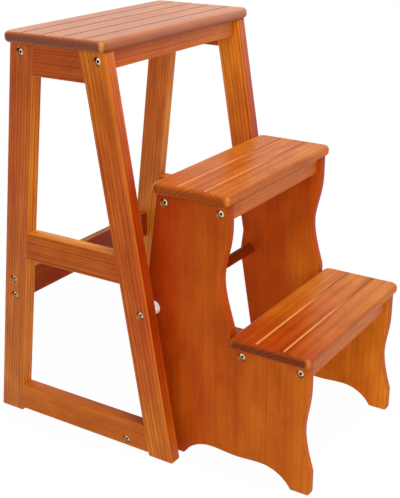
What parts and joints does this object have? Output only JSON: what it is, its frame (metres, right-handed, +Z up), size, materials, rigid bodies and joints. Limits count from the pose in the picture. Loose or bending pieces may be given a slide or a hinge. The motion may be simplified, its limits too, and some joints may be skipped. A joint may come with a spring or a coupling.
{
  "type": "folding step stool",
  "caption": "Folding wooden step stool: grooved top tread on an A-shaped frame, with a step unit that swings on a round bar and folds away inside the frame.",
  "frame": {"origin": "on the floor, under the middle of the stool's overall box with the steps down", "axes": "+Z up, -Y towards the person climbing, +X to that person's right"},
  "size_m": [0.402, 0.5646, 0.64],
  "materials": {
    "stained_wood": "satin lacquer",
    "bare_wood": "bare",
    "white_nylon": "matte",
    "bolt_steel": "nickel plated",
    "zinc_steel": "zinc plated"
  },
  "bodies": {
    "frame": {"bar_inserts": "zinc_steel", "frame_barrel_nuts": "zinc_steel", "frame_bolts": "bolt_steel", "frame_joint_pins": "bare_wood", "frame_tread_screws": "zinc_steel", "left_bottom_rail": "stained_wood", "left_front_leg": "stained_wood", "left_middle_rail": "stained_wood", "left_rear_leg": "stained_wood", "left_top_rail": "stained_wood", "lower_stretcher": "stained_wood", "pivot_bar": "stained_wood", "pivot_spacers": "white_nylon", "rear_stretcher": "stained_wood", "right_bottom_rail": "stained_wood", "right_front_leg": "stained_wood", "right_middle_rail": "stained_wood", "right_rear_leg": "stained_wood", "right_top_rail": "stained_wood", "top_front_apron": "stained_wood", "top_rear_apron": "stained_wood", "top_tread": "stained_wood"},
    "step_unit": {"left_step_panel": "stained_wood", "right_step_panel": "stained_wood", "middle_tread": "stained_wood", "lower_tread": "stained_wood", "middle_front_apron": "stained_wood", "middle_rear_rail": "stained_wood", "lower_front_apron": "stained_wood", "lower_rear_rail": "stained_wood", "step_bolts": "bolt_steel", "step_barrel_nuts": "zinc_steel", "step_tread_screws": "zinc_steel"}
  },
  "joints": [
    {"name": "step_fold", "type": "hinge", "parent": "frame", "child": "step_unit", "pos_m": [0, -0.01251, 0.239], "axis": [-1, 0, 0], "range_deg": [0, 179.9]}
  ]
}
